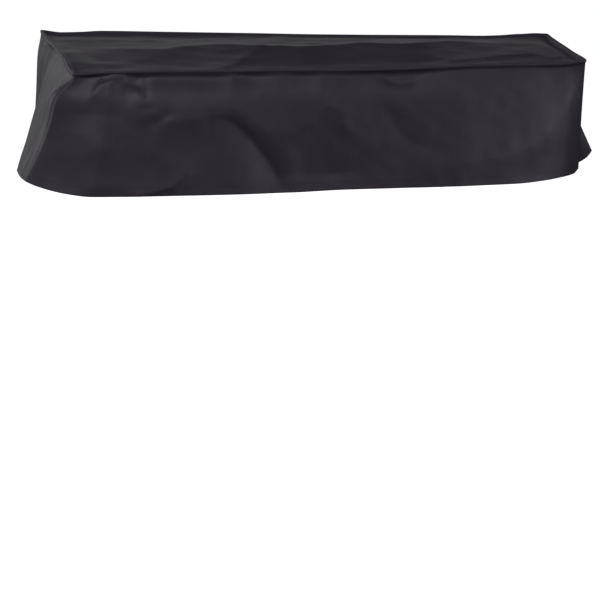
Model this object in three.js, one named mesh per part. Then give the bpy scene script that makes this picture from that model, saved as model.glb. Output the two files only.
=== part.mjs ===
// Fitted cloth cover for a table-top xylophone.
// A right-angled trapezoid of black coated cloth lies over the bars, deep at the bass end and narrow at
// the treble end. Four skirt panels hang from its seams and flare out towards the hem.
// The cover is a hollow shell, open underneath. X runs along the bars from bass to treble, Y from the
// front to the back and Z up. The origin is the point under the middle of the top where the cover rests.
import * as THREE from 'three';

// Driving sizes, in millimetres
const FRONT_LENGTH = 1000;
const HALF_LENGTH = FRONT_LENGTH / 2;
const BASS_DEPTH = 515;
const TREBLE_DEPTH = 265;
const BACK_RISE = 22;
const SKIRT_LENGTH = 236;
const STRAIGHT_END = 130;
const CLOTH = 2;
const HEM_THICKNESS = 3;
const SEAM_GAP = 0.3;
const SEAM_LIP = 3;
const SEAM_BAND = 3;
const RIDGE_INSET = 11;
const SEAM_HOLD = 9;
const SWELL_REACH = 0.14;
const CORNER_FADE = 33;
const SHARPEST_CORNER = -0.1;

// How finely the panels are divided
const STOPS_LONG = 60;
const STOPS_END = 26;
const ROWS = 14;
const ROW_CROWDING = 1.3;

const CLOTH_COLOUR = 0x2f2e32;
const CLOTH_ROUGHNESS = 0.62;

// Cross section of the top from the front seam (share 0) to the back seam (share 1): the cloth lies low
// over the front row of bars, climbs a step and lies higher over the back row. Towards both ends it is
// pulled into one straight slope.
const TOP_SECTIONS = [
  { share: 0.0, rise: 0 },
  { share: 0.12, rise: 0 },
  { share: 0.27, rise: 2.5 },
  { share: 0.37, rise: 11 },
  { share: 0.47, rise: 19 },
  { share: 0.6, rise: 20.5 },
  { share: 0.93, rise: 18 },
  { share: 1.0, rise: BACK_RISE },
];

// Soft ridges and troughs of the top. Each runs from one point to another, given as x from the middle of
// the length and y from the front seam.
const TOP_CREASES = [
  { from: [-238, 12], to: [-118, 175], width: 26, height: 3.5 },
  { from: [-455, 400], to: [-300, 330], width: 40, height: 4 },
  { from: [-330, 130], to: [-190, 190], width: 45, height: -5 },
  { from: [-60, 300], to: [130, 250], width: 40, height: 4 },
  { from: [60, 90], to: [230, 120], width: 45, height: -4 },
];

// How far each seam edge of the top sags from a straight line, and how high its turned lip stands above the
// cloth beside it. The long edges are told by x and the end edges by y. A sag fades out over its reach.
const EDGES = {
  front: {
    reach: 120,
    rows: [
      { at: -500, sag: -2, lip: 4 },
      { at: -400, sag: -2, lip: 4 },
      { at: -300, sag: -3, lip: 4 },
      { at: -200, sag: -5, lip: 4 },
      { at: -100, sag: -5.7, lip: 4 },
      { at: 0, sag: -8, lip: 4 },
      { at: 100, sag: -8.3, lip: 4 },
      { at: 200, sag: -6.7, lip: 4 },
      { at: 300, sag: -5.2, lip: 4 },
      { at: 400, sag: -5.9, lip: 4 },
      { at: 450, sag: -6, lip: 4 },
      { at: 500, sag: -1, lip: 5 },
    ],
  },
  treble: {
    reach: 34,
    rows: [
      { at: 0, sag: -1, lip: 5 },
      { at: 40, sag: -5, lip: 8.7 },
      { at: 90, sag: -7, lip: 9.2 },
      { at: 160, sag: -8, lip: 10.5 },
      { at: 225, sag: -6, lip: 9 },
      { at: 265, sag: -1, lip: 5.5 },
    ],
  },
  back: {
    reach: 90,
    rows: [
      { at: -500, sag: 2, lip: 6 },
      { at: -485, sag: -1, lip: 7 },
      { at: -460, sag: -5, lip: 8 },
      { at: -380, sag: -1.8, lip: 8 },
      { at: -250, sag: -1.3, lip: 6 },
      { at: -100, sag: -1, lip: 4 },
      { at: 50, sag: -2.6, lip: 3.5 },
      { at: 300, sag: -3.3, lip: 3.5 },
      { at: 370, sag: -4.1, lip: 3.5 },
      { at: 445, sag: -1.7, lip: 5 },
      { at: 500, sag: 0, lip: 5.5 },
    ],
  },
  bass: {
    reach: 70,
    rows: [
      { at: 0, sag: -2, lip: 4 },
      { at: 50, sag: -3, lip: 4 },
      { at: 100, sag: 2, lip: 4 },
      { at: 160, sag: 4, lip: 4 },
      { at: 310, sag: 4, lip: 4 },
      { at: 400, sag: 0, lip: 4 },
      { at: 515, sag: 0, lip: 6 },
    ],
  },
};

// Fold lines of the skirts. Each runs from a share of its seam to a point of the hem, told from the middle
// of the front seam. A bell over 1 hangs steeply and then kicks out. The swell is the part of that flare
// which stands out at once, just under the seam.
const FOLDS = {
  front: [
    { seam: 0.0, x: -604.3, y: -38, z: -188.7, xBell: 2.6, xSwell: 0.34, yBell: 1, ySwell: 0.22 },
    { seam: 0.009, x: -590, y: -44, z: -198.5, xBell: 2.5, xSwell: 0.35, yBell: 1, ySwell: 0.22 },
    { seam: 0.029, x: -560, y: -50, z: -209.7, xBell: 2.4, xSwell: 0.36, yBell: 1, ySwell: 0.22 },
    { seam: 0.056, x: -520, y: -55, z: -219.2, xBell: 2.4, xSwell: 0.36, yBell: 1, ySwell: 0.22 },
    { seam: 0.087, x: -475, y: -58, z: -225.3, xBell: 2.4, xSwell: 0.36, yBell: 1, ySwell: 0.22 },
    { seam: 0.17, x: -350, y: -60, z: -227.8, xBell: 2.0, xSwell: 0.3, yBell: 1, ySwell: 0.22 },
    { seam: 0.3, x: -210, y: -58, z: -229.8, xBell: 1.5, xSwell: 0.2, yBell: 1, ySwell: 0.22 },
    { seam: 0.41, x: -95, y: -50, z: -230.9, xBell: 1, xSwell: 0, yBell: 1, ySwell: 0.22 },
    { seam: 0.52, x: 18, y: -48, z: -229.1, xBell: 1, xSwell: 0, yBell: 1, ySwell: 0.22 },
    { seam: 0.74, x: 230, y: -45, z: -230.1, xBell: 1, xSwell: 0, yBell: 1, ySwell: 0.22 },
    { seam: 0.84, x: 330, y: -35, z: -230.6, xBell: 1, xSwell: 0, yBell: 1, ySwell: 0.2 },
    { seam: 0.91, x: 402, y: -26, z: -228.8, xBell: 1, xSwell: 0, yBell: 1, ySwell: 0.15 },
    { seam: 0.96, x: 455, y: 0, z: -226.3, xBell: 0.95, xSwell: 0, yBell: 0.95, ySwell: 0 },
    { seam: 0.985, x: 486, y: 22, z: -222.8, xBell: 0.85, xSwell: 0, yBell: 0.85, ySwell: 0 },
    { seam: 1.0, x: 502, y: 42, z: -214.6, xBell: 0.8, xSwell: 0, yBell: 0.8, ySwell: 0 },
  ],
  treble: [
    { seam: 0.0, x: 502, y: 42, z: -214.6, xBell: 0.8, xSwell: 0, yBell: 0.8, ySwell: 0 },
    { seam: 0.25, x: 514, y: 100, z: -225, xBell: 1, xSwell: 0, yBell: 1, ySwell: 0 },
    { seam: 0.55, x: 545, y: 180, z: -229, xBell: 1.1, xSwell: 0, yBell: 1.1, ySwell: 0 },
    { seam: 0.85, x: 588, y: 252, z: -226, xBell: 1.15, xSwell: 0, yBell: 1.15, ySwell: 0 },
    { seam: 1.0, x: 606, y: 285, z: -221, xBell: 1.15, xSwell: 0, yBell: 1.15, ySwell: 0 },
  ],
  back: [
    { seam: 0.0, x: 606, y: 285, z: -221, xBell: 1.15, xSwell: 0, yBell: 1.15, ySwell: 0 },
    { seam: 0.06, x: 520, y: 312, z: -216, xBell: 1.15, xSwell: 0, yBell: 1.1, ySwell: 0.1 },
    { seam: 0.2, x: 330, y: 362, z: -210, xBell: 1, xSwell: 0, yBell: 1, ySwell: 0.2 },
    { seam: 0.4, x: 110, y: 408, z: -213, xBell: 1, xSwell: 0, yBell: 1, ySwell: 0.2 },
    { seam: 0.6, x: -110, y: 468, z: -210, xBell: 1, xSwell: 0, yBell: 1, ySwell: 0.2 },
    { seam: 0.8, x: -328, y: 522, z: -213, xBell: 1, xSwell: 0, yBell: 1, ySwell: 0.2 },
    { seam: 0.94, x: -470, y: 558, z: -211, xBell: 1, xSwell: 0, yBell: 1, ySwell: 0.25 },
    { seam: 1.0, x: -516, y: 540, z: -208, xBell: 2, xSwell: 0.35, yBell: 1, ySwell: 0.3 },
  ],
  bass: [
    { seam: 0.0, x: -516, y: 540, z: -208, xBell: 2, xSwell: 0.35, yBell: 1, ySwell: 0.3 },
    { seam: 0.12, x: -520, y: 480, z: -214, xBell: 2, xSwell: 0.35, yBell: 1, ySwell: 0.2 },
    { seam: 0.28, x: -536, y: 390, z: -214, xBell: 2.2, xSwell: 0.3, yBell: 1, ySwell: 0.1 },
    { seam: 0.42, x: -562, y: 280, z: -209, xBell: 2.2, xSwell: 0.36, yBell: 1, ySwell: 0.1 },
    { seam: 0.565, x: -584, y: 155, z: -204.7, xBell: 2.1, xSwell: 0.45, yBell: 1, ySwell: 0.1 },
    { seam: 0.635, x: -589, y: 128, z: -201.2, xBell: 2.1, xSwell: 0.45, yBell: 1, ySwell: 0.1 },
    { seam: 0.75, x: -596.2, y: 85, z: -195.6, xBell: 2.1, xSwell: 0.44, yBell: 1, ySwell: 0.1 },
    { seam: 0.9, x: -602.1, y: 25, z: -189.5, xBell: 2.2, xSwell: 0.43, yBell: 1, ySwell: 0.15 },
    { seam: 0.93, x: -603.9, y: 5, z: -188.4, xBell: 2.2, xSwell: 0.43, yBell: 1, ySwell: 0.15 },
    { seam: 0.965, x: -605.2, y: -15, z: -188, xBell: 2.3, xSwell: 0.42, yBell: 1, ySwell: 0.2 },
    { seam: 1.0, x: -604.3, y: -38, z: -188.7, xBell: 2.6, xSwell: 0.34, yBell: 1, ySwell: 0.22 },
  ],
};

// Soft ridges (outwards) and troughs (inwards) of the skirts. Each runs from one point to another, given
// as the distance along the seam from the panel's middle and the distance down the cloth from the seam.
const SKIRT_CREASES = {
  front: [
    { from: [-385, 10], to: [-30, 12], width: 16, height: -5 },
    { from: [115, 16], to: [210, 26], width: 24, height: -5 },
    { from: [-455, 44], to: [-415, 14], width: 18, height: 5 },
    { from: [-400, 14], to: [-378, 26], width: 14, height: -5 },
    { from: [-350, 70], to: [-315, 96], width: 24, height: -5 },
    { from: [-218, 86], to: [-122, 220], width: 34, height: 3 },
    { from: [-199, 76], to: [-104, 214], width: 22, height: -9 },
    { from: [-10, 76], to: [-76, 126], width: 26, height: 4 },
    { from: [-10, 76], to: [45, 149], width: 26, height: 4 },
    { from: [-18, 115], to: [-45, 205], width: 40, height: -6 },
    { from: [-360, 224], to: [-285, 189], width: 28, height: 5 },
    { from: [480, 85], to: [400, 195], width: 46, height: 3.5 },
  ],
  treble: [{ from: [10, 60], to: [30, 236], width: 40, height: -8 }],
  back: [
    { from: [-330, 90], to: [-340, 236], width: 55, height: 8 },
    { from: [-120, 70], to: [-110, 236], width: 60, height: -7 },
    { from: [110, 100], to: [120, 236], width: 55, height: 8 },
    { from: [310, 60], to: [300, 236], width: 60, height: -7 },
  ],
  bass: [
    { from: [-152, 8], to: [-162, 75], width: 22, height: 3.5 },
    { from: [-84, 10], to: [-82, 60], width: 18, height: -4 },
    { from: [-42, 8], to: [-36, 90], width: 18, height: -5 },
    { from: [33, 4], to: [33, 236], width: 26, height: 5 },
    { from: [118, 10], to: [228, 78], width: 24, height: -4 },
  ],
};

// The sides in turn, anticlockwise seen from above, with the level direction that each one faces
const BACK_SLANT = BASS_DEPTH - TREBLE_DEPTH;
const SIDES = {
  front: { length: FRONT_LENGTH, facing: new THREE.Vector3(0, -1, 0) },
  treble: { length: TREBLE_DEPTH, facing: new THREE.Vector3(1, 0, 0) },
  back: {
    length: Math.hypot(FRONT_LENGTH, BACK_SLANT),
    facing: new THREE.Vector3(BACK_SLANT, FRONT_LENGTH, 0).normalize(),
  },
  bass: { length: BASS_DEPTH, facing: new THREE.Vector3(-1, 0, 0) },
};

const { clamp, lerp, mapLinear, smoothstep } = THREE.MathUtils;
const sum = (numbers) => numbers.reduce((total, number) => total + number, 0);
const upTo = (last) => Array.from({ length: last + 1 }, (_, k) => k);

// Smooth curve through one column of a table, level where the column turns back on itself
function glide(rows, key, column, place) {
  const at = clamp(place, rows[0][key], rows.at(-1)[key]);
  const slope = (k) => (rows[k + 1][column] - rows[k][column]) / (rows[k + 1][key] - rows[k][key]);
  const tangent = (k) => {
    if (k === 0) return slope(0);
    if (k === rows.length - 1) return slope(k - 1);
    const product = slope(k - 1) * slope(k);
    return product > 0 ? (2 * product) / (slope(k - 1) + slope(k)) : 0;
  };
  let k = 0;
  while (k < rows.length - 2 && rows[k + 1][key] <= at) k += 1;
  const span = rows[k + 1][key] - rows[k][key];
  const s = (at - rows[k][key]) / span;
  const level = lerp(rows[k][column], rows[k + 1][column], s * s * (3 - 2 * s));
  const leaving = s * (1 - s) ** 2 * span * tangent(k);
  const arriving = s ** 2 * (s - 1) * span * tangent(k + 1);
  return level + leaving + arriving;
}

// Height of all soft ridges and troughs of a table at one point of the flat cloth
function creaseHeight(creases, x, y) {
  const point = new THREE.Vector3(x, y, 0);
  return sum(creases.map(({ from, to, width, height }) => {
    const line = new THREE.Line3(new THREE.Vector3(...from, 0), new THREE.Vector3(...to, 0));
    const away = line.closestPointToPoint(point, true, new THREE.Vector3()).distanceTo(point);
    return height * Math.exp(-((away / width) ** 2));
  }));
}

const depthAt = (x) => mapLinear(x, -HALF_LENGTH, HALF_LENGTH, BASS_DEPTH, TREBLE_DEPTH);

// Place along each edge of the top, and distance in from that edge, of one point of the top
const fromEdges = (x, y) => ({
  front: { at: x, away: y },
  treble: { at: y, away: HALF_LENGTH - x },
  back: { at: x, away: depthAt(x) - y },
  bass: { at: y, away: HALF_LENGTH + x },
});

// Distances along an edge at which the cloth is divided, with narrow strips for the seam at each end
const SEAM_STRIPS = 4;
function stops(length, count) {
  const inner = count - SEAM_STRIPS;
  const between = upTo(inner).map((k) => RIDGE_INSET + (k / inner) * (length - 2 * RIDGE_INSET));
  return [0, SEAM_BAND, ...between, length - SEAM_BAND, length];
}
const onEdge = (k, last) => k === 0 || k === last;
const inBand = (k, last) => k <= 1 || k >= last - 1;

// Height of the top's upper face above the front seam
function topHeight(x, y) {
  const share = y / depthAt(x);
  const edges = Object.entries(fromEdges(x, y));
  const fromEnd = HALF_LENGTH - Math.abs(x);
  const stepped = smoothstep(fromEnd, 0, STRAIGHT_END);
  const section = lerp(share * BACK_RISE, glide(TOP_SECTIONS, 'share', 'rise', share), stepped);
  const sags = edges.map(([side, { at, away }]) => {
    const { rows, reach } = EDGES[side];
    return glide(rows, 'at', 'sag', at) * (1 - smoothstep(away, 0, reach));
  });
  const insideSeam = Math.min(1, ...edges.map(([, { away }]) => away / RIDGE_INSET));
  return section + sum(sags) + insideSeam * creaseHeight(TOP_CREASES, x, y);
}

// Height of the turned lip over one point of the seam band
function lipHeight(x, y) {
  const near = Object.entries(fromEdges(x, y)).filter(([, { away }]) => away < RIDGE_INSET / 2);
  return Math.max(...near.map(([side, { at }]) => glide(EDGES[side].rows, 'at', 'lip', at)));
}

// Grid of the top's upper face, from bass to treble and from front to back. Its two outermost lines all
// round make the turned lip: a level band that stands up from the cloth and out past the skirts.
const topGrid = stops(FRONT_LENGTH, STOPS_LONG).map((along, i) => {
  const x = along - HALF_LENGTH;
  const depth = depthAt(x);
  const bandX = inBand(i, STOPS_LONG);
  return stops(depth, STOPS_END).map((y, j) => {
    const bandY = inBand(j, STOPS_END);
    const places = [];
    if (bandX && !onEdge(j, STOPS_END)) places.push([Math.sign(x) * HALF_LENGTH, y]);
    if (bandY && !onEdge(i, STOPS_LONG)) places.push([x, Math.round(y / depth) * depth]);
    if (!places.length) places.push([x, y]);
    const heights = places.map((place) => topHeight(...place) + (bandX || bandY ? lipHeight(...place) : 0));
    const lipX = onEdge(i, STOPS_LONG) ? Math.sign(x) * SEAM_LIP : 0;
    const lipY = onEdge(j, STOPS_END) ? Math.sign(j - 1) * SEAM_LIP : 0;
    return new THREE.Vector3(x + lipX, y + lipY, Math.max(...heights));
  });
});
const topUnderside = topGrid.map((line) => line.map((p) => new THREE.Vector3(p.x, p.y, p.z - CLOTH)));

// Grid places along one side of the top, in the order of the sides
function edgePlaces(side) {
  const beside = (last) => upTo(last).filter((k) => onEdge(k, last) || !inBand(k, last));
  const long = beside(STOPS_LONG);
  const short = beside(STOPS_END);
  return {
    front: long.map((i) => [i, 0]),
    treble: short.map((j) => [STOPS_LONG, j]),
    back: long.toReversed().map((i) => [i, STOPS_END]),
    bass: short.toReversed().map((j) => [0, j]),
  }[side];
}

// Point where a skirt hangs, just clear of the underside of the lip around it
function seamPoint([i, j]) {
  const edge = topGrid[i][j];
  const inI = clamp(i, 1, STOPS_LONG - 1);
  const inJ = clamp(j, 1, STOPS_END - 1);
  const lowest = Math.min(edge.z, topGrid[inI][j].z, topGrid[i][inJ].z, topGrid[inI][inJ].z);
  const x = clamp(edge.x, -HALF_LENGTH, HALF_LENGTH);
  const y = clamp(edge.y, 0, depthAt(x));
  return new THREE.Vector3(x, y, lowest - CLOTH - SEAM_GAP);
}

// One line of cloth from the seam down to the hem
function skirtLine(side, share, seam) {
  const { length, facing } = SIDES[side];
  const fold = (column) => glide(FOLDS[side], 'seam', column, share);
  const hem = new THREE.Vector3(fold('x'), fold('y'), fold('z'));
  const flare = (axis, fall) => {
    const atOnce = 1 - Math.exp(-((fall / SWELL_REACH) ** 2));
    return lerp(fall ** fold(`${axis}Bell`), atOnce, fold(`${axis}Swell`));
  };
  const fromCorner = Math.min(share, 1 - share) * length;
  return upTo(ROWS).map((row) => {
    const fall = (row / ROWS) ** ROW_CROWDING;
    const down = fall * SKIRT_LENGTH;
    const point = new THREE.Vector3(
      lerp(seam.x, hem.x, flare('x', fall)),
      lerp(seam.y, hem.y, flare('y', fall)),
      lerp(seam.z, hem.z, fall),
    );
    const crease = creaseHeight(SKIRT_CREASES[side], (share - 0.5) * length, down);
    const fade = smoothstep(fromCorner, 0, CORNER_FADE) * smoothstep(down, 0, SEAM_HOLD);
    return point.addScaledVector(facing, fade * crease);
  });
}

// All skirts as one closed loop of cloth lines, so that neighbours share their corner line
const loop = [];
const spans = {};
for (const side of Object.keys(SIDES)) {
  const seams = edgePlaces(side).map(seamPoint);
  const run = seams.map((seam) => Math.hypot(seam.x - seams[0].x, seam.y - seams[0].y));
  spans[side] = { first: loop.length, count: seams.length };
  seams.slice(0, -1).forEach((seam, k) => loop.push(skirtLine(side, run[k] / run.at(-1), seam)));
}

// Inner face of the skirts: each point lies in from the outer face along the mean normal of the cloth
// around it. The lowest rows are doubled over as the hem, and the top edge stays level.
function innerPoint(column, row) {
  const here = loop[column][row];
  const towards = (columns, rows) => {
    const line = loop[(column + columns + loop.length) % loop.length];
    return (line[row + rows] ?? here).clone().sub(here);
  };
  const normal = new THREE.Vector3();
  for (const beside of [1, -1]) {
    for (const below of [1, -1]) {
      const facet = towards(0, below).cross(towards(beside, 0)).multiplyScalar(beside * below);
      normal.add(facet.normalize());
    }
  }
  if (row === 0) normal.z = 0;
  const straightness = -towards(1, 0).normalize().dot(towards(-1, 0).normalize());
  const mitre = Math.sqrt(2 / (1 + Math.max(straightness, SHARPEST_CORNER)));
  const thickness = row >= ROWS - 1 ? HEM_THICKNESS : CLOTH;
  return here.clone().addScaledVector(normal.normalize(), -thickness * mitre);
}
const innerLoop = loop.map((line, column) => line.map((_, row) => innerPoint(column, row)));

// Closed sheet between an outer and an inner grid of points with the same lines and rows
function sheet(outer, inner) {
  const lines = outer.length;
  const rows = outer[0].length;
  const out = (i, j) => i * rows + j;
  const inn = (i, j) => lines * rows + i * rows + j;
  const index = [];
  const quad = (a, b, c, d) => index.push(a, b, c, a, c, d);
  for (let i = 0; i < lines - 1; i += 1) {
    for (let j = 0; j < rows - 1; j += 1) {
      quad(out(i, j), out(i, j + 1), out(i + 1, j + 1), out(i + 1, j));
      quad(inn(i, j), inn(i + 1, j), inn(i + 1, j + 1), inn(i, j + 1));
    }
    quad(out(i, 0), out(i + 1, 0), inn(i + 1, 0), inn(i, 0));
    quad(out(i + 1, rows - 1), out(i, rows - 1), inn(i, rows - 1), inn(i + 1, rows - 1));
  }
  for (let j = 0; j < rows - 1; j += 1) {
    quad(out(0, j + 1), out(0, j), inn(0, j), inn(0, j + 1));
    quad(out(lines - 1, j), out(lines - 1, j + 1), inn(lines - 1, j + 1), inn(lines - 1, j));
  }
  const points = [...outer.flat(), ...inner.flat()];
  const geometry = new THREE.BufferGeometry().setFromPoints(points);
  geometry.setIndex(index);
  geometry.computeVertexNormals();
  return geometry;
}

// Lines of one skirt panel, drawn in by the seam gap at both corner seams
function panelLines(grid, { first, count }) {
  const lines = upTo(count - 1).map((k) => grid[(first + k) % grid.length].map((p) => p.clone()));
  const drawIn = (edge, neighbour) => edge.forEach((p, row) => {
    p.addScaledVector(neighbour[row].clone().sub(p).normalize(), SEAM_GAP);
  });
  drawIn(lines[0], lines[1]);
  drawIn(lines[count - 1], lines[count - 2]);
  return lines;
}

const skirt = (side) => sheet(panelLines(loop, spans[side]), panelLines(innerLoop, spans[side]));

const cover = new THREE.Group();
const restDepth = depthAt(0) / 2;
const rest = new THREE.Vector3(0, restDepth, topHeight(0, restDepth) - CLOTH);

function addPanel(name, geometry) {
  const material = new THREE.MeshStandardMaterial({
    color: CLOTH_COLOUR,
    roughness: CLOTH_ROUGHNESS,
    metalness: 0,
  });
  const panel = new THREE.Mesh(geometry, material);
  panel.name = name;
  panel.position.copy(rest).negate();
  cover.add(panel);
}

// The top's lines run from treble to bass here, so that its upper face points up
addPanel('top_panel', sheet(topGrid.toReversed(), topUnderside.toReversed()));
addPanel('front_panel', skirt('front'));
addPanel('treble_end_panel', skirt('treble'));
addPanel('back_panel', skirt('back'));
addPanel('bass_end_panel', skirt('bass'));

export default cover;
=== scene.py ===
from collections import namedtuple
from math import pi, radians

import bpy
import numpy as np
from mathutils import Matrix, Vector


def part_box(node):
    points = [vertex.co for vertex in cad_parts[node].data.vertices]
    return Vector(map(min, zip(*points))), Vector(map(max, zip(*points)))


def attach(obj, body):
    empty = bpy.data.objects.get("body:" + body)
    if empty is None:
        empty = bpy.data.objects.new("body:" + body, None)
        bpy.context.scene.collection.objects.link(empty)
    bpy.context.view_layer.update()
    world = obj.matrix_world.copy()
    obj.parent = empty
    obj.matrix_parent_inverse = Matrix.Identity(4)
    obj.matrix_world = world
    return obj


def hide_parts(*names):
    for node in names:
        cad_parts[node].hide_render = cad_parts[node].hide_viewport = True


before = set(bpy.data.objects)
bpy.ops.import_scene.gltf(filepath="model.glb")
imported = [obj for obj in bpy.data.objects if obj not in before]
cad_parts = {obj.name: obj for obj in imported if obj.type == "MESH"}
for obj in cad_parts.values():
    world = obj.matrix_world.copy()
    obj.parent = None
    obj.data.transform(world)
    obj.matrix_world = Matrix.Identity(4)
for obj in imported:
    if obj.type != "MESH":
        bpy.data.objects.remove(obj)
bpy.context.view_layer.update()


# Top panel
# A right-angled trapezoid of black coated cloth, deep at the bass end and narrow at the treble end. All its
# edges are turned down into a rolled lip that stands up a little, and the skirts are sewn on under it.
# Sizes are in millimetres: x from the middle of the front seam, y from that seam back, z from it up.
MM = 0.001
LIP = 3.0
top_low, top_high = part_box("top_panel")
FRONT_LENGTH = (top_high.x - top_low.x) / MM - 2 * LIP
HALF = FRONT_LENGTH / 2.0
BASS_DEPTH = (top_high.y - top_low.y) / MM - 2 * LIP
TREBLE_DEPTH = 265.0
BACK_RISE = 22.0
CORNER_ROUND = 5.0
CLOTH = 0.8
SEAM_DROP = 17.6
FRONT_SEAM = np.array((0.0, -top_low.y / MM - LIP, SEAM_DROP))

# Section from the front seam to the back one: low in front, then rising more and more steeply to the edge
# of a step, and nearly flat behind that
STEP_RISE = 25.0
STEP_FOOT = 66.0
STEP_BEND = 1.35
Behind = namedtuple("Behind", "share rise")
BEHIND_STEP = (Behind(0.0, STEP_RISE), Behind(0.2, 22.0), Behind(0.85, 18.0), Behind(1.0, BACK_RISE))

# Where the edge of that step runs, and how much of it is left: it fades out towards both ends
Step = namedtuple("Step", "at edge part")
TOP_STEP = (
    Step(-500, 250, 0.0),
    Step(-440, 243, 0.3),
    Step(-380, 221, 0.6),
    Step(-295, 187, 0.85),
    Step(-250, 202, 0.9),
    Step(-200, 222, 0.95),
    Step(-155, 206, 1.0),
    Step(-105, 160, 1.0),
    Step(-70, 166, 1.0),
    Step(-35, 143, 1.0),
    Step(45, 162, 1.0),
    Step(100, 182, 1.0),
    Step(180, 153, 1.0),
    Step(275, 202, 0.8),
    Step(340, 190, 0.5),
    Step(430, 176, 0.18),
    Step(500, 178, 0.0),
)

# How far each edge sags from a straight line, and how high its lip stands, along the edge
Edge = namedtuple("Edge", "at sag lip")
FRONT_EDGE = (
    Edge(-500, -2.0, 4.0),
    Edge(-400, -2.0, 4.0),
    Edge(-300, -3.0, 4.0),
    Edge(-200, -5.0, 4.0),
    Edge(-100, -5.7, 4.0),
    Edge(0, -8.0, 4.0),
    Edge(100, -8.3, 4.0),
    Edge(200, -6.7, 4.0),
    Edge(300, -5.2, 4.0),
    Edge(400, -5.9, 4.0),
    Edge(450, -6.0, 4.0),
    Edge(500, -1.0, 5.0),
)
BACK_EDGE = (
    Edge(-500, 2.0, 6.0),
    Edge(-485, -0.6, 6.5),
    Edge(-460, -4.0, 7.0),
    Edge(-420, -3.0, 7.0),
    Edge(-380, -0.8, 7.0),
    Edge(-250, -1.3, 6.0),
    Edge(-100, 0.2, 2.8),
    Edge(50, -1.0, 1.9),
    Edge(150, -1.5, 1.9),
    Edge(300, -1.8, 2.0),
    Edge(370, -2.9, 2.3),
    Edge(405, -2.2, 2.7),
    Edge(445, -1.7, 5.0),
    Edge(484, 0.4, 5.0),
    Edge(500, 0.0, 5.5),
)
BASS_EDGE = (
    Edge(0, -2.0, 4.0),
    Edge(50, -3.0, 4.0),
    Edge(100, 2.0, 4.0),
    Edge(160, 4.0, 4.0),
    Edge(310, 4.0, 4.0),
    Edge(400, 0.0, 4.0),
    Edge(515, 0.0, 6.0),
)
TREBLE_EDGE = (
    Edge(0, -1.0, 5.0),
    Edge(40, -5.0, 8.7),
    Edge(90, -7.0, 9.2),
    Edge(140, -8.0, 10.5),
    Edge(180, -8.0, 10.5),
    Edge(225, -6.0, 9.0),
    Edge(265, -1.0, 5.5),
)
FRONT_REACH = 120.0
BACK_REACH = 90.0
BASS_REACH = 70.0
TREBLE_REACH = 34.0

# A crease follows a path of places on the flat cloth, each with its height there: ridges are above zero
# and troughs below. Its width to the left of its run may differ from that to the right.
Crease = namedtuple("Crease", "path left right")
CREASE_TAPER = 1.4
TOP_CREASES = (
    Crease(((-248, 10, 1.5), (-201, 57, 3.0), (-165, 91, 4.0), (-134, 133, 4.5), (-109, 160, 3.0)), 14, 30),
    Crease(((197, 32, 0.5), (245, 62, 3.0), (329, 75, 3.0), (414, 88, 3.0), (437, 63, 1.0)), 13, 36),
    Crease(((-455, 400, 4.0), (-300, 330, 4.0)), 40, 40),
    Crease(((-60, 300, 4.0), (130, 250, 4.0)), 40, 40),
    Crease(((-495, 8, -6.0), (-455, 14, -3.0)), 30, 45),
    Crease(((-488, 190, 5.0), (-450, 200, 2.0)), 40, 45),
)

# Section across the rolled lip, outwards and down from its crest, and how much longer it is when unrolled
Roll = namedtuple("Roll", "out down")
LIP_ROLL = (Roll(0.9, 0.2), Roll(1.7, 0.9), Roll(2.2, 2.0), Roll(2.2, 3.9), Roll(1.9, 5.2))
LIP_UNROLLED = 2.0
LIP_WIDTH = 6.0
LIP_INSET = 11.0
LIP_WEAR = 5.0

# Faint unevenness of stiff cloth, in waves of about two sizes, and how far their lengths vary
Cockle = namedtuple("Cockle", "size height")
TOP_COCKLES = (Cockle(75.0, 0.4), Cockle(28.0, 0.1))
TOP_SEED = 11
COCKLE_WAVES = 24
SHORTEST_WAVE = 0.7
LONGEST_WAVE = 1.6

TOP_COLUMNS = 270
TOP_ROWS = 120
CROWDING = 0.45
SMOOTH_ANGLE = 50.0
TINY = 1e-9


def smooth(t):
    t = np.clip(t, 0.0, 1.0)
    return t * t * (3.0 - 2.0 * t)


def glide(table, column, at):
    """Smooth curve through one column of a table, level where the column turns back on itself."""
    keys = np.array([row[0] for row in table], float)
    values = np.array([getattr(row, column) for row in table], float)
    slopes = np.diff(values) / np.diff(keys)
    product = slopes[:-1] * slopes[1:]
    total = np.where(product > 0, slopes[:-1] + slopes[1:], 1.0)
    inner = np.where(product > 0, 2.0 * product / total, 0.0)
    tangents = np.concatenate((slopes[:1], inner, slopes[-1:]))
    at = np.clip(at, keys[0], keys[-1])
    k = np.clip(np.searchsorted(keys, at, side="right") - 1, 0, len(keys) - 2)
    span = keys[k + 1] - keys[k]
    s = (at - keys[k]) / span
    level = values[k] + (values[k + 1] - values[k]) * s * s * (3.0 - 2.0 * s)
    leaving = s * (1.0 - s) ** 2 * span * tangents[k]
    arriving = s**2 * (s - 1.0) * span * tangents[k + 1]
    return level + leaving + arriving


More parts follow.
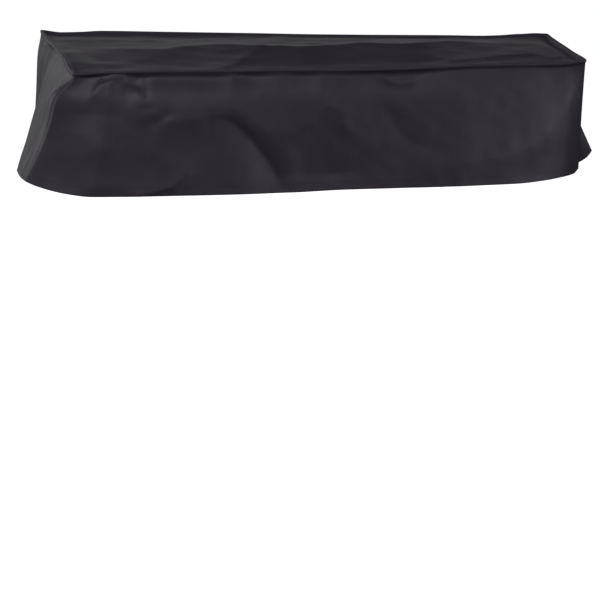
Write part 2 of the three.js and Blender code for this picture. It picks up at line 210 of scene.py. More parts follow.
def crease_height(creases, across, down):
    """Height of all ridges and troughs of a table at points of the flat cloth."""
    total = np.zeros(np.broadcast(across, down).shape)
    for crease in creases:
        path = np.array(crease.path, float)
        nearest = np.full(total.shape, np.inf)
        shape = np.zeros(total.shape)
        for start, end in zip(path[:-1], path[1:]):
            leg = np.hypot(*(end - start)[:2])
            run = (end - start)[:2] / leg
            ahead = np.clip((across - start[0]) * run[0] + (down - start[1]) * run[1], 0.0, leg)
            aside = (across - start[0] - ahead * run[0], down - start[1] - ahead * run[1])
            away = np.hypot(*aside)
            turn = (run[0] * aside[1] - run[1] * aside[0]) / np.maximum(away, TINY)
            width = crease.left + (crease.right - crease.left) * (turn + 1.0) / 2.0
            height = start[2] + (end[2] - start[2]) * ahead / leg
            profile = height * np.exp(-((away / width) ** CREASE_TAPER))
            shape = np.where(away < nearest, profile, shape)
            nearest = np.minimum(nearest, away)
        total += shape
    return total


def unevenness(cockles, seed, across, down):
    """Height of the cockles of the cloth: many waves of about each size, running all ways."""
    total = np.zeros(np.broadcast(across, down).shape)
    for k, cockle in enumerate(cockles):
        draw = np.random.default_rng(seed + k)
        waves = np.zeros(total.shape)
        for _ in range(COCKLE_WAVES):
            turn, start = draw.uniform(0.0, 2.0 * pi, 2)
            length = cockle.size * draw.uniform(SHORTEST_WAVE, LONGEST_WAVE)
            waves += np.sin(2.0 * pi * (across * np.cos(turn) + down * np.sin(turn)) / length + start)
        total += cockle.height * waves / np.sqrt(COCKLE_WAVES / 2.0)
    return total


def stops(length, count):
    """Places along an edge, closer together towards both ends."""
    t = np.linspace(0.0, 1.0, count)
    return length * (t - CROWDING * np.sin(2.0 * pi * t) / (2.0 * pi))


def depth_at(x):
    return np.interp(x, (-HALF, HALF), (BASS_DEPTH, TREBLE_DEPTH))


def edge_distance(x, y):
    """How far a place on the top is from the nearest of its four edges."""
    return np.minimum(np.minimum(y, depth_at(x) - y), HALF - np.abs(x))


def top_rise(x, y):
    """Height of the top's upper face, without its lip."""
    depth = depth_at(x)
    edge = glide(TOP_STEP, "edge", x)
    before = STEP_RISE * np.clip((y - STEP_FOOT) / (edge - STEP_FOOT), 0.0, 1.0) ** STEP_BEND
    behind = glide(BEHIND_STEP, "rise", (y - edge) / (depth - edge))
    part = glide(TOP_STEP, "part", x)
    section = np.where(y < edge, before, behind) * part + y / depth * BACK_RISE * (1.0 - part)
    sag = glide(FRONT_EDGE, "sag", x) * smooth(1.0 - y / FRONT_REACH)
    sag = sag + glide(BACK_EDGE, "sag", x) * smooth(1.0 - (depth - y) / BACK_REACH)
    sag = sag + glide(BASS_EDGE, "sag", y) * smooth(1.0 - (HALF + x) / BASS_REACH)
    sag = sag + glide(TREBLE_EDGE, "sag", y) * smooth(1.0 - (HALF - x) / TREBLE_REACH)
    inside = np.clip(edge_distance(x, y) / LIP_INSET, 0.0, 1.0)
    fine = unevenness(TOP_COCKLES, TOP_SEED, x, y)
    return section + sag + inside * (crease_height(TOP_CREASES, x, y) + fine)


def lip_rise(x, y):
    """How much the rolled edge stands up from the cloth beside it."""

    def ridge(edge, at, away):
        return glide(edge, "lip", at) * np.exp(-((away / LIP_WIDTH) ** 2))

    front = ridge(FRONT_EDGE, x, y)
    back = ridge(BACK_EDGE, x, depth_at(x) - y)
    bass = ridge(BASS_EDGE, y, HALF + x)
    treble = ridge(TREBLE_EDGE, y, HALF - x)
    return np.maximum(np.maximum(front, back), np.maximum(bass, treble))


def round_corners(x, y):
    """Plan of the cloth with its four corners rounded off."""
    middle = depth_at(x) / 2.0
    over_x = np.maximum(np.abs(x) - HALF + CORNER_ROUND, 0.0)
    over_y = np.maximum(np.abs(y - middle) - middle + CORNER_ROUND, 0.0)
    drawn_in = 1.0 - np.maximum(over_x, over_y) / np.maximum(np.hypot(over_x, over_y), TINY)
    return x - np.sign(x) * over_x * drawn_in, y - np.sign(y - middle) * over_y * drawn_in


def to_frame(points):
    return (points - FRONT_SEAM) * MM


def unit(vectors):
    return vectors / np.maximum(np.linalg.norm(vectors, axis=-1, keepdims=True), TINY)


def cloth_sheet(name, points, cut, wear):
    """Thin cloth through a grid of points, with their places on the cut cloth as its UV map."""
    columns, rows = points.shape[:2]
    bpy.ops.object.select_all(action="DESELECT")
    bpy.ops.mesh.primitive_grid_add(x_subdivisions=columns - 1, y_subdivisions=rows - 1, size=1)
    sheet = bpy.context.object
    sheet.name = name
    mesh = sheet.data
    mesh.name = name
    flat = np.empty(len(mesh.vertices) * 3)
    mesh.vertices.foreach_get("co", flat)
    places = np.rint((flat.reshape(-1, 3)[:, :2] + 0.5) * (columns - 1, rows - 1)).astype(int)
    i, j = places.T
    mesh.vertices.foreach_set("co", to_frame(points[i, j]).ravel())
    corners = np.empty(len(mesh.loops), dtype=int)
    mesh.loops.foreach_get("vertex_index", corners)
    mesh.uv_layers.active.name = "cut"
    mesh.uv_layers.active.data.foreach_set("uv", (cut[i, j] * MM)[corners].ravel())
    mesh.attributes.new("wear", "FLOAT", "POINT").data.foreach_set("value", wear[i, j].ravel())
    mesh.update()
    doubled = sheet.modifiers.new("cloth thickness", "SOLIDIFY")
    doubled.thickness = CLOTH * MM
    doubled.offset = -1.0
    bpy.ops.object.modifier_apply(modifier=doubled.name)
    bpy.ops.object.shade_smooth_by_angle(angle=radians(SMOOTH_ANGLE))
    sheet.data.materials.append(CLOTH_MATERIAL)
    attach(sheet, "root")
    return sheet


# Cloth of all panels: pitch and depth of its weave, its tones, and the patches in which dust, rubbing and
# gloss vary over it. A wave texture of scale 1 runs through WAVE_RADIANS in a metre.
YARN_PITCH = 0.0008
WAVE_RADIANS = 20.0
WEAVE_STRENGTH = 0.35
WEAVE_DEPTH = 0.0001
BLACK_YARN = (0.0172, 0.0140, 0.0216, 1.0)
DUSTY_YARN = (0.0312, 0.0262, 0.0380, 1.0)
Patches = namedtuple("Patches", "scale detail low high")
BROAD_DUST = Patches(9.0, 4.0, 0.0, 0.55)
FINE_DUST = Patches(260.0, 2.0, 0.0, 0.25)
RUBBED = Patches(60.0, 3.0, 0.0, 0.6)
DULLNESS = Patches(14.0, 3.0, 0.41, 0.52)


def black_cloth():
    """Tight plain weave of black yarn with a thin coat: dark, a little sleek, dusty where it is rubbed."""
    material = bpy.data.materials.new("black_coated_cloth")
    material.use_nodes = True
    nodes = material.node_tree.nodes
    link = material.node_tree.links.new
    shader = nodes["Principled BSDF"]
    shader.inputs["Specular IOR Level"].default_value = 0.5
    shader.inputs["Sheen Weight"].default_value = 0.05
    shader.inputs["Sheen Roughness"].default_value = 0.5

    cut = nodes.new("ShaderNodeUVMap")
    cut.uv_map = "cut"
    place = nodes.new("ShaderNodeTexCoord")

    def yarns(direction):
        yarn = nodes.new("ShaderNodeTexWave")
        yarn.bands_direction = direction
        yarn.inputs["Scale"].default_value = 2.0 * pi / (WAVE_RADIANS * YARN_PITCH)
        yarn.inputs["Distortion"].default_value = 0.6
        yarn.inputs["Detail"].default_value = 1.0
        link(cut.outputs["UV"], yarn.inputs["Vector"])
        return yarn.outputs["Fac"]

    def cloud(patches):
        noise = nodes.new("ShaderNodeTexNoise")
        noise.inputs["Scale"].default_value = patches.scale
        noise.inputs["Detail"].default_value = patches.detail
        link(place.outputs["Object"], noise.inputs["Vector"])
        return noise.outputs["Fac"]

    def spread(value, patches):
        ramp = nodes.new("ShaderNodeMapRange")
        ramp.inputs["To Min"].default_value = patches.low
        ramp.inputs["To Max"].default_value = patches.high
        link(value, ramp.inputs["Value"])
        return ramp.outputs["Result"]

    def combine(kind, first, second):
        joined = nodes.new("ShaderNodeMath")
        joined.operation = kind
        link(first, joined.inputs[0])
        link(second, joined.inputs[1])
        return joined.outputs[0]

    wear = nodes.new("ShaderNodeAttribute")
    wear.attribute_name = "wear"
    worn = combine("MULTIPLY", wear.outputs["Fac"], cloud(RUBBED))
    dust = combine("ADD", spread(cloud(BROAD_DUST), BROAD_DUST), spread(cloud(FINE_DUST), FINE_DUST))
    tone = combine("ADD", dust, spread(worn, RUBBED))
    colours = nodes.new("ShaderNodeValToRGB")
    colours.color_ramp.elements[0].color = BLACK_YARN
    colours.color_ramp.elements[1].color = DUSTY_YARN
    link(tone, colours.inputs["Fac"])
    link(colours.outputs["Color"], shader.inputs["Base Color"])
    link(spread(cloud(DULLNESS), DULLNESS), shader.inputs["Roughness"])

    weave = combine("ADD", yarns("X"), yarns("Y"))
    bump = nodes.new("ShaderNodeBump")
    bump.inputs["Strength"].default_value = WEAVE_STRENGTH
    bump.inputs["Distance"].default_value = WEAVE_DEPTH
    link(weave, bump.inputs["Height"])
    link(bump.outputs["Normal"], shader.inputs["Normal"])
    return material


CLOTH_MATERIAL = black_cloth()

interior_x = stops(FRONT_LENGTH, TOP_COLUMNS) - HALF
interior_share = stops(1.0, TOP_ROWS)
roll_out = np.array([roll.out for roll in LIP_ROLL])
roll_down = np.array([roll.down for roll in LIP_ROLL])
roll_end = np.ones(len(LIP_ROLL))
top_x = np.concatenate((-HALF * roll_end, interior_x, HALF * roll_end))
out_x = np.concatenate((-roll_out[::-1], np.zeros(TOP_COLUMNS), roll_out))
down_x = np.concatenate((roll_down[::-1], np.zeros(TOP_COLUMNS), roll_down))
top_share = np.concatenate((0.0 * roll_end, interior_share, roll_end))
out_y = np.concatenate((-roll_out[::-1], np.zeros(TOP_ROWS), roll_out))
down_y = np.concatenate((roll_down[::-1], np.zeros(TOP_ROWS), roll_down))

grid_x = top_x[:, None] + 0.0 * top_share[None, :]
grid_y = top_share[None, :] * depth_at(top_x)[:, None]
plan_x, plan_y = round_corners(grid_x + out_x[:, None], grid_y + out_y[None, :])
top_height = top_rise(grid_x, grid_y) + lip_rise(grid_x, grid_y)
plan_z = top_height - np.maximum(down_x[:, None], down_y[None, :])
top_points = np.stack((plan_x, plan_y, plan_z), axis=-1)
cut_x = grid_x + LIP_UNROLLED * out_x[:, None]
cut_y = grid_y + LIP_UNROLLED * out_y[None, :]
top_wear = np.exp(-((edge_distance(grid_x, grid_y) / LIP_WEAR) ** 2))
top_cloth = cloth_sheet("top_cloth", top_points, np.stack((cut_x, cut_y), axis=-1), top_wear)
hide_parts("top_panel")


# Front panel
# The long skirt of the same black cloth, sewn on under the lip of the front seam. It flares out at the bass
# corner, is pulled into slack folds under the seam and across its middle, and has a turned hem sewn with one
# row of stitches.
SKIRT = 236.0
SKIRT_ROWS = 84
SKIRT_COCKLES = (Cockle(110.0, 0.3), Cockle(45.0, 0.12))
SEAM_OUT = 0.8
SEAM_HOLD = 9.0
HANG_DROP = 2.6
SWELL_REACH = 0.14

# Hem, turned in and up inside the skirt round a small radius, and ending clear of the corner seams
HEM_TURN = 18.0
HEM_RADIUS = 1.0
HEM_STEPS = 6
HEM_CLEAR = 3.0
HEM_CUT_PITCH = 2.0
HEM_WEAR = 4.0

# Corner seam: one edge is turned in and laps behind the other, which is turned in less. Both shrink to a
# plain folded edge just above the hem.
CORNER_FADE = 33.0
CORNER_TURN = 2.5
CORNER_UNDER = 1.2
CORNER_LEAST = 1.0
CORNER_EASE = 0.15
CORNER_GAP = 0.1
CORNER_STEPS = (1.0, 0.75, 0.5, 0.25)
CORNER_LAP = 1.3
LAP_LEAST = 0.05
LAP_SINK = 0.3
SHRINK_REACH = 4.0

# Hem stitches of spun black thread, and the twist that shows on it
STITCH_ABOVE_HEM = 15.0
STITCH_INSET = 8.0
STITCH_PITCH = 4.2
STITCH_LENGTH = 3.4
STITCH_SIDES = 6
STITCH_RINGS = 5
THREAD = 0.7
THREAD_BLACK = (0.0205, 0.0175, 0.0240, 1.0)
THREAD_TWIST = 0.0006
TWIST_STRENGTH = 0.4
TWIST_DEPTH = 0.0001

# A fold line runs from a share of the seam to a point of the hem. A bell over 1 hangs steeply and then
# kicks out. The swell is the part of that flare which stands out at once, just under the seam.
Fold = namedtuple("Fold", "seam x y z x_bell x_swell y_bell y_swell")
FRONT_FOLDS = (
    Fold(0.0, -600, -10, -195.0, 1.85, 0.335, 1.0, 0.1),
    Fold(0.0045, -594, -17.5, -199.2, 1.85, 0.335, 1.0, 0.1),
    Fold(0.029, -556, -31, -213.2, 2.0, 0.31, 1.0, 0.16),
    Fold(0.056, -518, -42, -221.4, 2.1, 0.33, 1.0, 0.2),
    Fold(0.087, -475, -52, -226.2, 2.2, 0.34, 1.0, 0.22),
    Fold(0.17, -350, -60, -227.8, 2.0, 0.3, 1.0, 0.22),
    Fold(0.3, -210, -58, -229.8, 1.5, 0.2, 1.0, 0.22),
    Fold(0.41, -95, -50, -230.9, 1.0, 0.0, 1.0, 0.22),
    Fold(0.52, 18, -48, -229.1, 1.0, 0.0, 1.0, 0.22),
    Fold(0.74, 230, -45, -230.1, 1.0, 0.0, 1.0, 0.22),
    Fold(0.8, 289, -40, -230.4, 1.0, 0.0, 1.0, 0.2),
    Fold(0.87, 361, -31, -230.9, 1.0, 0.0, 1.0, 0.16),
    Fold(0.92, 413, -20, -228.6, 1.0, 0.0, 1.0, 0.1),
    Fold(0.96, 455, -2, -225.9, 0.95, 0.0, 0.95, 0.0),
    Fold(0.985, 486, 22, -223.8, 0.85, 0.0, 0.85, 0.0),
    Fold(1.0, 502, 42, -217.5, 0.8, 0.0, 0.8, 0.0),
)
FRONT_CREASES = (
    # Tuck that runs along just under the seam, and the slack pocket that hangs from it
    Crease(
        (
            (-495, 8, -5.0), (-455, 9, -3.5), (-425, 8, -1.0), (-405, 8, 0.0), (-390, 9, -2.0),
            (-375, 13, -4.5), (-300, 14, -5.0), (-230, 14, -5.0), (-200, 13, -2.5), (-165, 14, -4.8),
            (-109, 13, -2.5), (-70, 14, -4.5), (-28, 13, -2.5), (30, 14, -4.0), (110, 15, -4.5),
            (160, 15, -4.5), (200, 12, -3.5), (230, 9, -2.5), (350, 8, -2.0), (485, 8, -2.0),
        ),
        12, 24,
    ),
    Crease(
        (
            (93, 14, -1.0), (112, 26, -3.0), (130, 31, -4.0), (150, 28, -4.0), (168, 18, -2.5),
            (180, 10, -1.0),
        ),
        20, 9,
    ),
    # Mound near the bass corner, with the dents beside it
    Crease(((-443, 36, 3.5), (-441, 22, 5.0), (-423, 16, 4.5), (-410, 15, 2.0)), 8, 22),
    Crease(((-401, 13, -2.2), (-388, 22, -3.4), (-373, 27, -3.2)), 13, 12),
    Crease(((-393, 18, -1.8), (-386, 53, -1.0)), 15, 15),
    Crease(((-373, 35, 1.2), (-372, 40, 1.2)), 5, 5),
    Crease(((-361, 12, -0.9), (-356, 46, -1.2)), 5, 5),
    # Bulge that runs from the mound to the long crease, and the dents under it
    Crease(
        (
            (-392, 30, 1.0), (-371, 50, 3.0), (-352, 72, 3.5), (-322, 92, 4.0), (-279, 90, 4.0),
            (-236, 86, 3.0),
        ),
        55, 25,
    ),
    Crease(((-356, 68, -1.6), (-350, 70, -1.6)), 10, 10),
    Crease(((-340, 94, -2.2), (-324, 84, -2.6)), 14, 14),
    # Long crease that falls to the hem, and the swell along its upper side
    Crease(
        (
            (-236, 92, -1.5), (-225, 91, -2.2), (-208, 94, -2.8), (-196, 99, -3.4), (-180, 115, -4.0),
            (-161, 135, -4.3), (-142, 161, -4.3), (-125, 184, -4.0), (-113, 212, -3.4), (-105, 228, -2.8),
        ),
        11, 34,
    ),
    Crease(((-196, 68, 1.0), (-155, 98, 2.0), (-120, 135, 1.5), (-92, 172, 1.0), (-80, 200, 0.5)), 45, 22),
    # Two ridges that meet in a point, and the hollow under them
    Crease(((-14, 68, 1.8), (-26, 83, 2.5), (-51, 104, 2.7), (-80, 122, 1.7)), 14, 30),
    Crease(((-14, 68, 0.8), (5, 80, 1.8), (12, 101, 2.0), (25, 117, 1.5), (40, 140, 0.5)), 30, 14),
    Crease(((-110, 200, -4.0), (-60, 204, -7.0), (-15, 204, -7.5), (25, 200, -5.0)), 80, 28),
    Crease(((-12, 40, 0.0), (-12, 60, 0.6), (-13, 68, 0.8)), 7, 7),
    # Swells low on the bass half
    Crease(((-355, 234, 2.5), (-330, 226, 3.0), (-310, 220, 3.5), (-285, 196, 3.0)), 20, 10),
    Crease(((-433, 80, 1.0), (-433, 120, 3.5), (-426, 150, 5.0), (-412, 215, 4.0)), 45, 45),
    Crease(((-338, 120, 1.0), (-326, 180, 2.0)), 32, 32),
    # Slanting hollow in the treble half, and the pull from the treble corner down and back across it
    Crease(((96, 81, -1.5), (116, 112, -3.0), (150, 145, -3.0), (190, 165, -2.0)), 30, 30),
    Crease(
        (
            (487, 50, 1.0), (471, 74, 3.0), (441, 120, 5.0), (420, 144, 5.5), (390, 162, 5.5),
            (330, 183, 5.0), (258, 190, 4.0), (208, 200, 3.0),
        ),
        40, 60,
    ),
)


def skirt_points(folds, creases, seed, seam_start, seam_end, facing, columns):
    """Grid of one skirt from its seam down to its hem, with the places of its points on the flat cloth."""
    seam_start = np.array(seam_start)
    seam_end = np.array(seam_end)
    facing = np.array(facing) / np.linalg.norm(facing)
    length = np.linalg.norm(seam_end - seam_start)
    share = stops(1.0, columns)[:, None]
    fall = stops(1.0, SKIRT_ROWS)[None, :]
    seam_x = seam_start[0] + (seam_end[0] - seam_start[0]) * share
    seam_y = seam_start[1] + (seam_end[1] - seam_start[1]) * share
    under_x = np.clip(seam_x, -HALF, HALF)
    under_y = np.clip(seam_y, 0.0, depth_at(under_x))
    seam_z = top_rise(under_x, under_y) + lip_rise(under_x, under_y) - HANG_DROP
    seam_x, seam_y = round_corners(seam_x, seam_y)

    def flare(axis):
        swell = glide(folds, axis + "_swell", share)
        at_once = 1.0 - np.exp(-((fall / SWELL_REACH) ** 2))
        return swell * at_once + (1.0 - swell) * fall ** glide(folds, axis + "_bell", share)

    along = (share - 0.5) * length
    down = fall * SKIRT
    fade = smooth(np.minimum(share, 1.0 - share) * length / CORNER_FADE) * smooth(down / SEAM_HOLD)
    fine = unevenness(SKIRT_COCKLES, seed, along, down)
    relief = fade * (crease_height(creases, along, down) + fine)
    points = np.stack(
        (
            seam_x + (glide(folds, "x", share) - seam_x) * flare("x") + facing[0] * relief,
            seam_y + (glide(folds, "y", share) - seam_y) * flare("y") + facing[1] * relief,
            seam_z + (glide(folds, "z", share) - seam_z) * fall,
        ),
        axis=-1,
    )
    cut = np.stack((along + 0.0 * down, -down + 0.0 * along), axis=-1)
    return points, cut


def run_along(line):
    """Length along a line of points, from its start to each of them."""
    return np.concatenate(((0.0,), np.cumsum(np.linalg.norm(np.diff(line, axis=0), axis=1))))


def pick(line, run, places):
    """Points, or directions, of a line at places along its run."""
    return np.stack([np.interp(places, run, line[:, axis]) for axis in range(3)], axis=-1)


def draw_in(line, by):
    """The same line of cloth, cut shorter at both ends."""
    run = run_along(line)
    return pick(line, run, by + run * (1.0 - 2.0 * by / run[-1]))


def black_thread():
    """Spun black sewing thread, duller than the cloth, with its twist as fine slanting ridges."""
    material = bpy.data.materials.new("black_thread")
    material.use_nodes = True
    nodes = material.node_tree.nodes
    link = material.node_tree.links.new
    shader = nodes["Principled BSDF"]
    shader.inputs["Base Color"].default_value = THREAD_BLACK
    shader.inputs["Roughness"].default_value = 0.6
    place = nodes.new("ShaderNodeTexCoord")
    twist = nodes.new("ShaderNodeTexWave")
    twist.bands_direction = "DIAGONAL"
    twist.inputs["Scale"].default_value = 2.0 * pi / (WAVE_RADIANS * THREAD_TWIST)
    link(place.outputs["Object"], twist.inputs["Vector"])
    bump = nodes.new("ShaderNodeBump")
    bump.inputs["Strength"].default_value = TWIST_STRENGTH
    bump.inputs["Distance"].default_value = TWIST_DEPTH
    link(twist.outputs["Fac"], bump.inputs["Height"])
    link(bump.outputs["Normal"], shader.inputs["Normal"])
    return material


def sew_hem(name, points, cut):
    """One row of stitches above the hem, each of them half sunk in the outer face of the cloth."""
    along = unit(np.gradient(points, axis=0))
    outward = -unit(np.cross(along, unit(np.gradient(points, axis=1))))
    above_hem = SKIRT + cut[0, :, 1]
    below = np.searchsorted(-above_hem, -STITCH_ABOVE_HEM)
    part = (above_hem[below - 1] - STITCH_ABOVE_HEM) / (above_hem[below - 1] - above_hem[below])

    def on_row(values):
        return values[:, below - 1] * (1.0 - part) + values[:, below] * part

    line = on_row(points)
    run = run_along(line)
    places = np.arange(STITCH_INSET, run[-1] - STITCH_INSET, STITCH_PITCH)
    ahead = unit(pick(on_row(along), run, places))
    out = unit(pick(on_row(outward), run, places))
    aside = np.cross(out, ahead)
    bpy.ops.object.select_all(action="DESELECT")
    bpy.ops.mesh.primitive_uv_sphere_add(segments=STITCH_SIDES, ring_count=STITCH_RINGS, radius=0.5)
    stitches = bpy.context.object
    stitches.name = name
    mesh = stitches.data
    mesh.name = name
    x, y, z = np.array([vertex.co for vertex in mesh.vertices]).T[:, None, :, None]
    faces = [np.array(face.vertices) for face in mesh.polygons]
    each = THREAD * (x * aside[:, None] + y * out[:, None]) + STITCH_LENGTH * z * ahead[:, None]
    all_points = to_frame(pick(line, run, places)[:, None] + each)
    size = all_points.shape[1]
    all_faces = [(face + size * k).tolist() for k in range(len(places)) for face in faces]
    mesh.clear_geometry()
    mesh.from_pydata(all_points.reshape(-1, 3), [], all_faces)
    bpy.ops.object.shade_smooth()
    mesh.materials.append(THREAD_MATERIAL)
    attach(stitches, "root")
    return stitches


def turn_hem(points, cut):
    """Turns the hem in and up inside the skirt, as an open loop of cloth, short of the corner seams."""
    along = unit(np.gradient(points, axis=0))
    fall = unit(np.gradient(points, axis=1))
    inward = unit(np.cross(along, fall))
    edge, edge_fall, edge_in = points[:, -1], fall[:, -1], inward[:, -1]
    extra = []
    for turn in np.linspace(0.0, pi, HEM_STEPS)[1:]:
        extra.append(edge + HEM_RADIUS * ((1.0 - np.cos(turn)) * edge_in + np.sin(turn) * edge_fall))
    above_hem = SKIRT + cut[0, :, 1]
    for row in range(points.shape[1] - 2, 0, -1):
        if above_hem[row] <= HEM_TURN:
            inner = points[:, row] + 2.0 * HEM_RADIUS * inward[:, row]
            extra.append(draw_in(inner, CORNER_TURN + HEM_CLEAR))
    extra_cut = [cut[:, -1] - np.array((0.0, HEM_CUT_PITCH * (k + 0.5))) for k in range(len(extra))]
    whole = np.concatenate((points, np.stack(extra, axis=1)), axis=1)
    whole_cut = np.concatenate((cut, np.stack(extra_cut, axis=1)), axis=1)
    return whole, whole_cut


def turn_corner(points, cut, inward, turn, lap):
    """Turns the first side edge in along its corner seam, and on into a lap if it has one."""
    edge = points[0].copy()
    aside = unit(points[1] - edge)
    above_hem = SKIRT + cut[0, :, 1]
    grown = smooth(above_hem / SHRINK_REACH)
    depth = np.where(above_hem < 0.0, 0.0, CORNER_LEAST + (turn - CORNER_LEAST) * grown)
    inward = np.array((*inward, 0.0)) / np.linalg.norm(inward)
    turned = []
    turned_cut = []
    if lap:
        over = unit(aside - inward * (aside @ inward)[:, None])
        reach = lap * grown + LAP_LEAST
        turned.append(edge + inward * (depth + LAP_SINK * reach)[:, None] - over * reach[:, None])
        turned_cut.append(cut[0] + np.sign(cut[0, :, :1]) * (depth + reach)[:, None] * (1.0, 0.0))
    for s in CORNER_STEPS:
        in_seam = (depth * s * s)[:, None]
        turned.append(edge + inward * in_seam + aside * (CORNER_GAP + CORNER_EASE * (1.0 - s)))
        turned_cut.append(cut[0] + np.sign(cut[0, :, :1]) * in_seam * (1.0, 0.0))
    points[0] = edge + aside * (CORNER_GAP + CORNER_EASE)
    return np.concatenate((turned, points)), np.concatenate((turned_cut, cut))


def hang_skirt(name, folds, creases, seed, seam, facing, corners, columns):
    """One skirt panel and its hem stitches. Its seam is given by both ends, each corner by the way in."""
    points, cut = skirt_points(folds, creases, seed, *seam, facing, columns)
    stitches = sew_hem(name + "_hem_stitches", points, cut)
    points, cut = turn_hem(points, cut)
    points, cut = turn_corner(points, cut, corners[0], CORNER_TURN, CORNER_LAP)
    points, cut = turn_corner(points[::-1], cut[::-1], corners[1], CORNER_UNDER, 0.0)
    points, cut = points[::-1, ::-1], cut[::-1, ::-1]
    wear = np.exp(-(((cut[..., 1] + SKIRT) / HEM_WEAR) ** 2))
    return cloth_sheet(name, points, cut, wear), stitches


THREAD_MATERIAL = black_thread()
FRONT_BASS = (-HALF - SEAM_OUT, -SEAM_OUT)
FRONT_TREBLE = (HALF + SEAM_OUT, -SEAM_OUT)
BACK_TREBLE = (HALF + SEAM_OUT, TREBLE_DEPTH + SEAM_OUT)
BACK_BASS = (-HALF - SEAM_OUT, BASS_DEPTH + SEAM_OUT)
FRONT_BASS_IN = (1, 1)
FRONT_TREBLE_IN = (-1, 1)
BACK_TREBLE_IN = (-1, -1)
BACK_BASS_IN = (1, -1)
front_cloth, front_stitches = hang_skirt(
    "front_cloth", FRONT_FOLDS, FRONT_CREASES, seed=21, seam=(FRONT_BASS, FRONT_TREBLE), facing=(0, -1),
    corners=(FRONT_BASS_IN, FRONT_TREBLE_IN), columns=340,
)
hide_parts("front_panel")


# Treble end panel
# The short skirt of the same cloth at the narrow end, sewn under the top's lip and to the front skirt's side
# edge. It hangs nearly straight at the front corner and kicks out behind.
TREBLE_FOLDS = (
    Fold(0.0, 502, 42, -217.5, 0.8, 0.0, 0.8, 0.0),
    Fold(0.25, 514, 100, -227.5, 1.0, 0.0, 1.0, 0.0),
    Fold(0.55, 545, 180, -231.5, 1.1, 0.0, 1.1, 0.0),
    Fold(0.85, 588, 252, -226, 1.15, 0.0, 1.15, 0.0),
    Fold(1.0, 606, 285, -219.5, 1.15, 0.0, 1.15, 0.0),
)
TREBLE_CREASES = (
    Crease(((10, 60, -8.0), (30, 236, -8.0)), 40, 40),
)
treble_cloth, treble_stitches = hang_skirt(
    "treble_end_cloth", TREBLE_FOLDS, TREBLE_CREASES, seed=31, seam=(FRONT_TREBLE, BACK_TREBLE),
    facing=(1, 0), corners=(FRONT_TREBLE_IN, BACK_TREBLE_IN), columns=90,
)
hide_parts("treble_end_panel")


# Back panel
# The long skirt of the same cloth, sewn along the slanted back seam and to the treble end's side edge. It
# hangs in four slack folds.
BACK_FOLDS = (
    Fold(0.0, 606, 285, -219.5, 1.15, 0.0, 1.15, 0.0),
    Fold(0.06, 520, 312, -216, 1.15, 0.0, 1.1, 0.1),
    Fold(0.2, 330, 362, -210, 1.0, 0.0, 1.0, 0.2),
    Fold(0.4, 110, 408, -213, 1.0, 0.0, 1.0, 0.2),
    Fold(0.6, -110, 468, -210, 1.0, 0.0, 1.0, 0.2),
    Fold(0.8, -328, 522, -213, 1.0, 0.0, 1.0, 0.2),
    Fold(0.94, -470, 558, -211, 1.0, 0.0, 1.0, 0.25),
    Fold(1.0, -518.5, 540, -208, 1.9, 0.38, 1.0, 0.3),
)
BACK_CREASES = (
    Crease(((-330, 90, 8.0), (-340, 236, 8.0)), 55, 55),
    Crease(((-120, 70, -7.0), (-110, 236, -7.0)), 60, 60),
    Crease(((110, 100, 8.0), (120, 236, 8.0)), 55, 55),
    Crease(((310, 60, -7.0), (300, 236, -7.0)), 60, 60),
)
back_cloth, back_stitches = hang_skirt(
    "back_cloth", BACK_FOLDS, BACK_CREASES, seed=41, seam=(BACK_TREBLE, BACK_BASS),
    facing=(BASS_DEPTH - TREBLE_DEPTH, FRONT_LENGTH), corners=(BACK_TREBLE_IN, BACK_BASS_IN), columns=340,
)
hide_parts("back_panel")


# Bass end panel
# The deep end skirt of the same cloth, sewn under the top's lip and to the back and front skirts. It is
# gathered a little under its seam, and pulled into one sharp fold from there to the hem.
BASS_FOLDS = (
    Fold(0.0, -518.5, 540, -208, 1.9, 0.38, 1.0, 0.3),
    Fold(0.12, -522.5, 480, -214, 1.9, 0.37, 1.0, 0.2),
    Fold(0.28, -538, 390, -214, 2.0, 0.3, 1.0, 0.1),
    Fold(0.42, -566, 280, -209, 1.1, 0.09, 1.0, 0.1),
    Fold(0.565, -588, 155, -204.7, 0.96, 0.09, 1.0, 0.1),
    Fold(0.635, -592.5, 128, -201.2, 0.97, 0.09, 1.0, 0.1),
    Fold(0.75, -598.5, 85, -195.6, 1.05, 0.1, 1.0, 0.1),
    Fold(0.83, -601, 60, -193.4, 1.2, 0.15, 1.0, 0.12),
    Fold(0.88, -602, 44, -192.8, 1.7, 0.3, 1.0, 0.15),
    Fold(0.93, -602.8, 24, -192.6, 1.9, 0.42, 1.0, 0.15),
    Fold(0.975, -603.4, 5, -192.6, 1.8, 0.42, 1.0, 0.12),
    Fold(0.99, -602.2, -4, -193.6, 1.85, 0.37, 1.0, 0.1),
    Fold(1.0, -600, -10, -195.0, 1.85, 0.335, 1.0, 0.1),
)
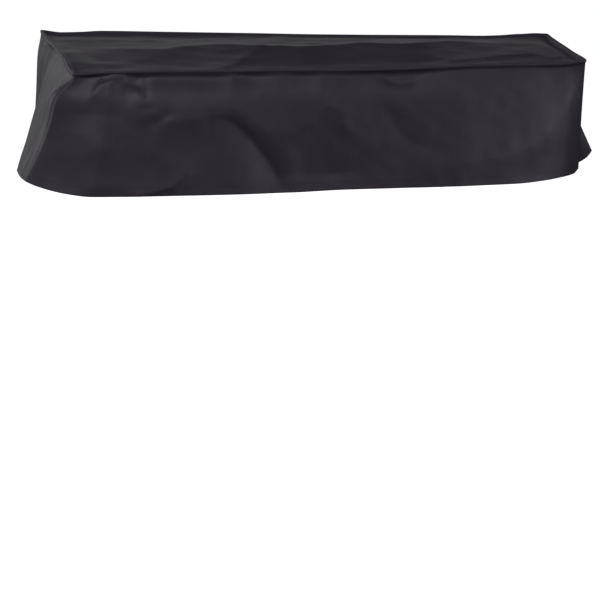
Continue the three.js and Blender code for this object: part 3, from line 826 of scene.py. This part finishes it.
BASS_CREASES = (
    # Gathers that fade out below the seam
    Crease(((-152, 6, 3.5), (-155, 40, 3.5), (-165, 80, 1.5)), 18, 18),
    Crease(((-115, 8, -2.0), (-113, 60, -1.0)), 8, 8),
    Crease(((-84, 8, -4.0), (-82, 40, -3.0), (-80, 75, -1.0)), 14, 10),
    Crease(((-62, 8, 2.2), (-60, 40, 1.5), (-58, 70, 0.5)), 9, 9),
    Crease(((-42, 6, -5.0), (-40, 50, -4.0), (-34, 100, -1.5)), 14, 9),
    Crease(((-20, 8, 2.0), (-18, 70, 1.0)), 8, 8),
    Crease(((5, 8, -2.5), (7, 60, -1.2)), 8, 8),
    # Sharp fold down to the hem, and the dents between it and the front corner
    Crease(((33, 4, 4.0), (33, 236, 5.0)), 40, 14),
    Crease(((60, 8, -2.0), (62, 50, -1.0)), 9, 9),
    Crease(((150, 10, -2.0), (190, 60, -2.0)), 16, 16),
)
bass_cloth, bass_stitches = hang_skirt(
    "bass_end_cloth", BASS_FOLDS, BASS_CREASES, seed=51, seam=(BACK_BASS, FRONT_BASS), facing=(-1, 0),
    corners=(BACK_BASS_IN, FRONT_BASS_IN), columns=180,
)
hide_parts("bass_end_panel")


# Floor
# A plain pale studio floor, about a metre below the cover. It takes the cover's soft shadow, and sends no
# light of its own back up under the skirts.
FLOOR_LEVEL = -0.962
FLOOR_SIZE = 60.0
FLOOR_TONE = (0.86, 0.86, 0.86, 1.0)
FLOOR_GLOW = 0.97
bpy.ops.object.select_all(action="DESELECT")
bpy.ops.mesh.primitive_plane_add(size=FLOOR_SIZE, location=(0.0, 0.0, FLOOR_LEVEL))
floor = bpy.context.object
floor.name = "studio_floor"
floor.visible_diffuse = False
floor.visible_glossy = False
pale = bpy.data.materials.new("pale_floor")
pale.use_nodes = True
pale_shader = pale.node_tree.nodes["Principled BSDF"]
pale_shader.inputs["Base Color"].default_value = FLOOR_TONE
pale_shader.inputs["Roughness"].default_value = 0.9
pale_shader.inputs["Specular IOR Level"].default_value = 0.1
pale_shader.inputs["Emission Color"].default_value = (1.0, 1.0, 1.0, 1.0)
pale_shader.inputs["Emission Strength"].default_value = FLOOR_GLOW
floor.data.materials.append(pale)


# Studio light
# A broad soft light over the front and a weaker one low on the treble side. Narrower soft lights stand
# beside the bass end and behind both ends, and a low wide glow from behind glances over the top.
Light = namedtuple("Light", "name place aim width height power colour")
WHITE = (1.0, 1.0, 1.0)
COOL = (0.96, 0.92, 1.0)
LIGHTS = (
    Light("light_over_front", (-1.6, -4.1, 3.8), (0.0, 0.0, -0.1), 3.2, 2.2, 115.0, COOL),
    Light("fill_from_treble_side", (4.4, -3.3, 0.8), (0.2, 0.0, -0.1), 2.6, 2.0, 90.0, COOL),
    Light("light_beside_bass_end", (-3.85, 0.3, 1.2), (-0.4, 0.0, -0.1), 2.6, 1.8, 54.0, WHITE),
    Light("light_behind_bass_end", (-2.3, 3.4, 1.5), (-0.4, 0.1, 0.0), 2.2, 1.2, 8.5, WHITE),
    Light("light_behind_treble_end", (3.2, 3.4, 0.5), (0.5, 0.2, -0.1), 1.4, 1.2, 2.5, WHITE),
    Light("glow_from_behind", (-0.3, 4.4, 0.4), (0.0, 0.2, 0.0), 7.4, 1.8, 12.8, WHITE),
)
ROOM_GLOW = 0.035


def aim_at(place, aim):
    return (Vector(aim) - Vector(place)).to_track_quat("-Z", "Y").to_euler()


for light in LIGHTS:
    bpy.ops.object.light_add(type="AREA", location=light.place, rotation=aim_at(light.place, light.aim))
    lamp = bpy.context.object
    lamp.name = light.name
    lamp.visible_camera = False
    lamp.data.shape = "RECTANGLE"
    lamp.data.size = light.width
    lamp.data.size_y = light.height
    lamp.data.energy = light.power
    lamp.data.color = light.colour

world = bpy.data.worlds.new("studio")
world.use_nodes = True
room = world.node_tree.nodes["Background"]
room.inputs["Color"].default_value = (*WHITE, 1.0)
room.inputs["Strength"].default_value = ROOM_GLOW
bpy.context.scene.world = world
bpy.context.scene.view_settings.view_transform = "Standard"


# Camera
# A long lens at the photo's angle, a little above the cover and off to its bass side.
CAMERA_PLACE = (-1.16875, -5.4775, 0.60528)
CAMERA_DOWN = 11.2475
CAMERA_YAW = 11.7802
LENS = 170.9
SENSOR = 36.0
FAR_CLIP = 200.0
bpy.ops.object.camera_add(
    location=CAMERA_PLACE, rotation=(radians(90.0 - CAMERA_DOWN), 0.0, radians(-CAMERA_YAW))
)
camera = bpy.context.object
camera.name = "photo_camera"
camera.data.lens = LENS
camera.data.sensor_width = SENSOR
camera.data.clip_end = FAR_CLIP
bpy.context.scene.camera = camera
